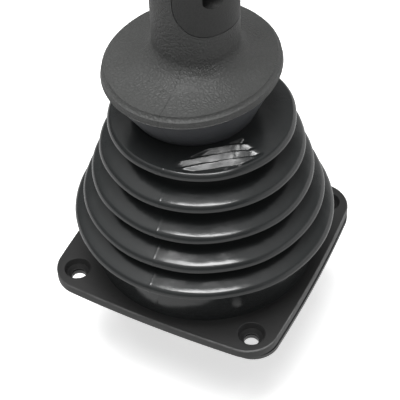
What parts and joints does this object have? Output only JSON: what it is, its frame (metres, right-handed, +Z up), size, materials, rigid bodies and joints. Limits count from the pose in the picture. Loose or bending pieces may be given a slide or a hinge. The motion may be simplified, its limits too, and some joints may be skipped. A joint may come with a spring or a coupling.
{
  "type": "electric joystick",
  "caption": "Electric joystick: square flange, pleated rubber gaiter over a gimbal, moulded grip with oval palm rest, thumb buttons and finger trigger; sensor pot below.",
  "frame": {"origin": "centre of the panel bolt pattern at the underside of the mounting plate", "axes": "+Z up the lever; +X away from the operator, towards the grip's front cover; +Y to the operator's left"},
  "size_m": [0.1168, 0.1168, 0.3033],
  "materials": {
    "plate_steel": "black coated steel, satin",
    "seal_rubber": "matt black rubber",
    "frame_plastic": "moulded dark grey plastic, fine grain",
    "gaiter_rubber": "smooth glossy black rubber",
    "clip_steel": "bright steel",
    "cast_alloy": "die-cast, unpainted",
    "bush_plastic": "natural acetal",
    "machined_steel": "turned steel",
    "spring_steel": "spring wire",
    "holder_plastic": "moulded",
    "magnet": "nickel plated",
    "zinc_steel": "zinc plated",
    "pot_plastic": "glass-filled black plastic",
    "circuit_board": "green solder resist",
    "chip_plastic": "black epoxy",
    "plug_metal": "nickel plated brass",
    "contact_brass": "gilt",
    "grip_rear_plastic": "grey soft-touch, leather grain",
    "grip_front_plastic": "dark grey soft-touch, fine grain",
    "black_steel": "black oxide",
    "button_plastic": "moulded, slightly glossy"
  },
  "bodies": {
    "base": {"mounting_plate": "plate_steel", "flange_gasket": "seal_rubber", "gaiter_frame": "frame_plastic", "gaiter": "gaiter_rubber", "gimbal_frame": "cast_alloy", "trunnion_bushes": "bush_plastic", "gimbal_screws": "zinc_steel", "sensor_pot": "pot_plastic", "pot_screws": "zinc_steel", "sensor_board": "circuit_board", "board_screws": "zinc_steel", "hall_sensor": "chip_plastic", "board_chips": "chip_plastic", "cover_seal": "seal_rubber", "pot_cover": "pot_plastic", "cover_screws": "zinc_steel", "connector_body": "plug_metal", "connector_nut": "plug_metal", "connector_pins": "contact_brass"},
    "tilt_ring": {"gimbal_ring": "machined_steel", "pin_bushes": "bush_plastic", "side_spring": "spring_steel"},
    "lever": {"lever_shaft": "machined_steel", "cross_pin": "machined_steel", "fore_spring": "spring_steel", "magnet_holder": "holder_plastic", "sensor_magnet": "magnet", "grip_nut": "zinc_steel", "collar_clip": "clip_steel", "grip_rear_shell": "grip_rear_plastic", "grip_front_shell": "grip_front_plastic", "shell_screws": "black_steel", "switch_plate": "grip_rear_plastic", "switch_board": "circuit_board", "button_switches": "chip_plastic", "trigger_pin": "machined_steel", "trigger_switch": "chip_plastic"},
    "left_button": {"button_left": "button_plastic"},
    "right_button": {"button_right": "button_plastic"},
    "finger_trigger": {"trigger": "button_plastic"}
  },
  "joints": [
    {"name": "side_tilt", "type": "hinge", "parent": "base", "child": "tilt_ring", "pos_m": [0, 0, 0.022], "axis": [1, 0, 0], "range_deg": [-20, 20], "stiffness_Nm_per_rad": 1.2, "deforming": ["gaiter", "side_spring"]},
    {"name": "fore_aft_tilt", "type": "hinge", "parent": "tilt_ring", "child": "lever", "pos_m": [0, 0, 0.022], "axis": [0, 1, 0], "range_deg": [-20, 20], "stiffness_Nm_per_rad": 1.2, "deforming": ["fore_spring"]},
    {"name": "button_left_press", "type": "slide", "parent": "lever", "child": "left_button", "axis": [0.4226, 0, -0.9063], "range_m": [0, 0.0015], "stiffness_N_per_m": 400},
    {"name": "button_right_press", "type": "slide", "parent": "lever", "child": "right_button", "axis": [0.4226, 0, -0.9063], "range_m": [0, 0.0015], "stiffness_N_per_m": 400},
    {"name": "trigger_pull", "type": "hinge", "parent": "lever", "child": "finger_trigger", "pos_m": [0.018, 0, 0.2306], "axis": [0, 1, 0], "range_deg": [0, 12], "stiffness_Nm_per_rad": 0.05}
  ]
}
